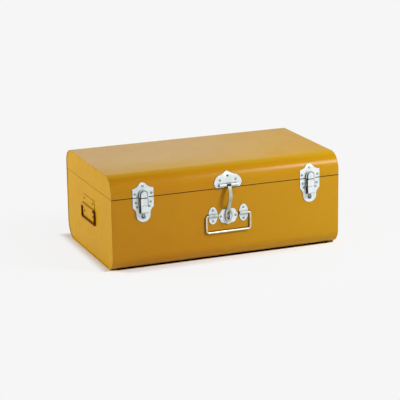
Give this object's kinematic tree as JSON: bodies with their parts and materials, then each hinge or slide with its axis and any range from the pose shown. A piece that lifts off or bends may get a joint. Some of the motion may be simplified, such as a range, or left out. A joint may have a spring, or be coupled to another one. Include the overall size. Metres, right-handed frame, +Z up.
{
  "type": "tin trunk",
  "caption": "Small folded-steel trunk with a hinged lid, two snap latches, a centre hasp and staple, a front drop handle and a drop handle on each end, for papers and keepsakes.",
  "frame": {"origin": "centre of the flat underside that the closed trunk stands on", "axes": "+Z up; +X to the right along the front as the front is faced; the front, with its latches, faces -Y and the hinges +Y"},
  "size_m": [0.5098, 0.3191, 0.195],
  "materials": {
    "mustard_paint": "satin mustard-yellow paint",
    "zinc_plate": "bright zinc plating",
    "bright_wire": "bright plated wire",
    "brown_wire": "dark brown lacquered wire",
    "spring_steel": "plain spring steel"
  },
  "bodies": {
    "trunk": {"body_wrap": "mustard_paint", "body_end_left": "mustard_paint", "body_end_right": "mustard_paint", "collar_front": "mustard_paint", "collar_rear": "mustard_paint", "collar_left": "mustard_paint", "collar_right": "mustard_paint", "hinge_body_leaf_left": "mustard_paint", "hinge_body_leaf_right": "mustard_paint", "hinge_pin_left": "mustard_paint", "hinge_pin_right": "mustard_paint", "latch_base_left": "zinc_plate", "latch_base_right": "zinc_plate", "latch_pin_left": "zinc_plate", "latch_pin_right": "zinc_plate", "latch_spring_left": "spring_steel", "latch_spring_right": "spring_steel", "staple_plate": "zinc_plate", "staple": "zinc_plate", "bail_saddle_left": "zinc_plate", "bail_saddle_right": "zinc_plate", "side_plate_left": "mustard_paint", "side_plate_right": "mustard_paint", "rivets_latch_bases": "zinc_plate", "rivets_latch_springs": "zinc_plate", "rivets_staple_plate": "zinc_plate", "rivets_bail_saddles": "zinc_plate", "rivets_side_plate_left": "mustard_paint", "rivets_side_plate_right": "mustard_paint", "rivets_hinge_body": "mustard_paint"},
    "lid": {"lid_wrap": "mustard_paint", "lid_end_left": "mustard_paint", "lid_end_right": "mustard_paint", "hinge_lid_leaf_left": "mustard_paint", "hinge_lid_leaf_right": "mustard_paint", "latch_keeper_left": "zinc_plate", "latch_keeper_right": "zinc_plate", "hasp_plate": "zinc_plate", "hasp_pin": "zinc_plate", "rivets_latch_keeper_left": "zinc_plate", "rivets_latch_keeper_right": "zinc_plate", "rivets_hasp_plate": "zinc_plate", "rivets_hinge_lid": "mustard_paint"},
    "hasp": {"hasp_strap": "zinc_plate"},
    "latch_lever_left": {"latch_lever_left": "zinc_plate"},
    "latch_lever_right": {"latch_lever_right": "zinc_plate"},
    "front_bail": {"front_bail": "bright_wire"},
    "side_bail_left": {"side_bail_left": "brown_wire"},
    "side_bail_right": {"side_bail_right": "brown_wire"}
  },
  "joints": [
    {"name": "lid_swing", "type": "hinge", "parent": "trunk", "child": "lid", "pos_m": [0, 0.1518, 0.15], "axis": [-1, 0, 0], "range_deg": [0, 110]},
    {"name": "hasp_swing", "type": "hinge", "parent": "lid", "child": "hasp", "pos_m": [0, -0.1525, 0.1566], "axis": [-1, 0, 0], "range_deg": [0, 135]},
    {"name": "latch_left_rock", "type": "hinge", "parent": "trunk", "child": "latch_lever_left", "pos_m": [-0.183, -0.1531, 0.138], "axis": [-1, 0, 0], "range_deg": [0, 9], "stiffness_Nm_per_rad": 0.3, "springref_deg": -5.73, "deforming": ["latch_spring_left"]},
    {"name": "latch_right_rock", "type": "hinge", "parent": "trunk", "child": "latch_lever_right", "pos_m": [0.183, -0.1531, 0.138], "axis": [-1, 0, 0], "range_deg": [0, 9], "stiffness_Nm_per_rad": 0.3, "springref_deg": -5.73, "deforming": ["latch_spring_right"]},
    {"name": "front_bail_swing", "type": "hinge", "parent": "trunk", "child": "front_bail", "pos_m": [0, -0.151, 0.0942], "axis": [-1, 0, 0], "range_deg": [0, 120]},
    {"name": "side_bail_left_swing", "type": "hinge", "parent": "trunk", "child": "side_bail_left", "pos_m": [-0.2516, 0, 0.0997], "axis": [0, 1, 0], "range_deg": [0, 120]},
    {"name": "side_bail_right_swing", "type": "hinge", "parent": "trunk", "child": "side_bail_right", "pos_m": [0.2516, 0, 0.0997], "axis": [0, -1, 0], "range_deg": [0, 120]}
  ]
}
